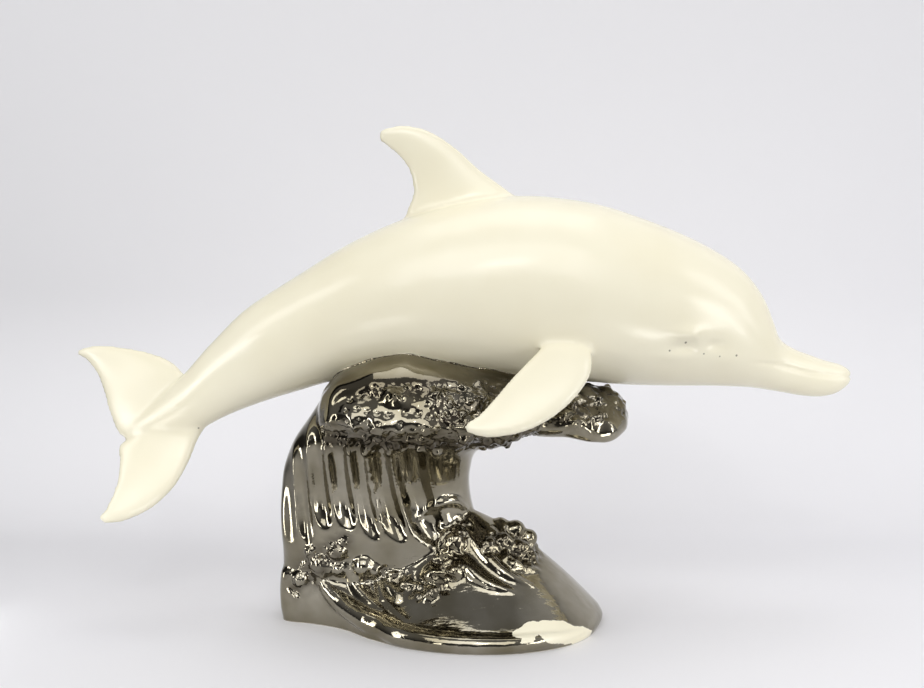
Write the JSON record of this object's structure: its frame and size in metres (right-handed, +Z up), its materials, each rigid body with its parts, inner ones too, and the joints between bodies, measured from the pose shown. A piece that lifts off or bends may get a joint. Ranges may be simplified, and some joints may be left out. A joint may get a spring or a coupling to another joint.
{
  "type": "ceramic dolphin figurine",
  "caption": "Glazed ceramic figurine of a dolphin leaping over a curling, foaming wave that stands on its own flat underside.",
  "frame": {"origin": "on the flat underside of the wave, below the middle of the dolphin's length", "axes": "+Z up, +X towards the dolphin's beak, -Y towards the side that faces the viewer"},
  "size_m": [0.4071, 0.1266, 0.259],
  "materials": {
    "ivory_glaze": "glossy ivory glaze on the dolphin; the wave carries a dark platinum lustre over the same glaze"
  },
  "bodies": {
    "root": {"dolphin_figurine": "ivory_glaze"}
  },
  "joints": []
}
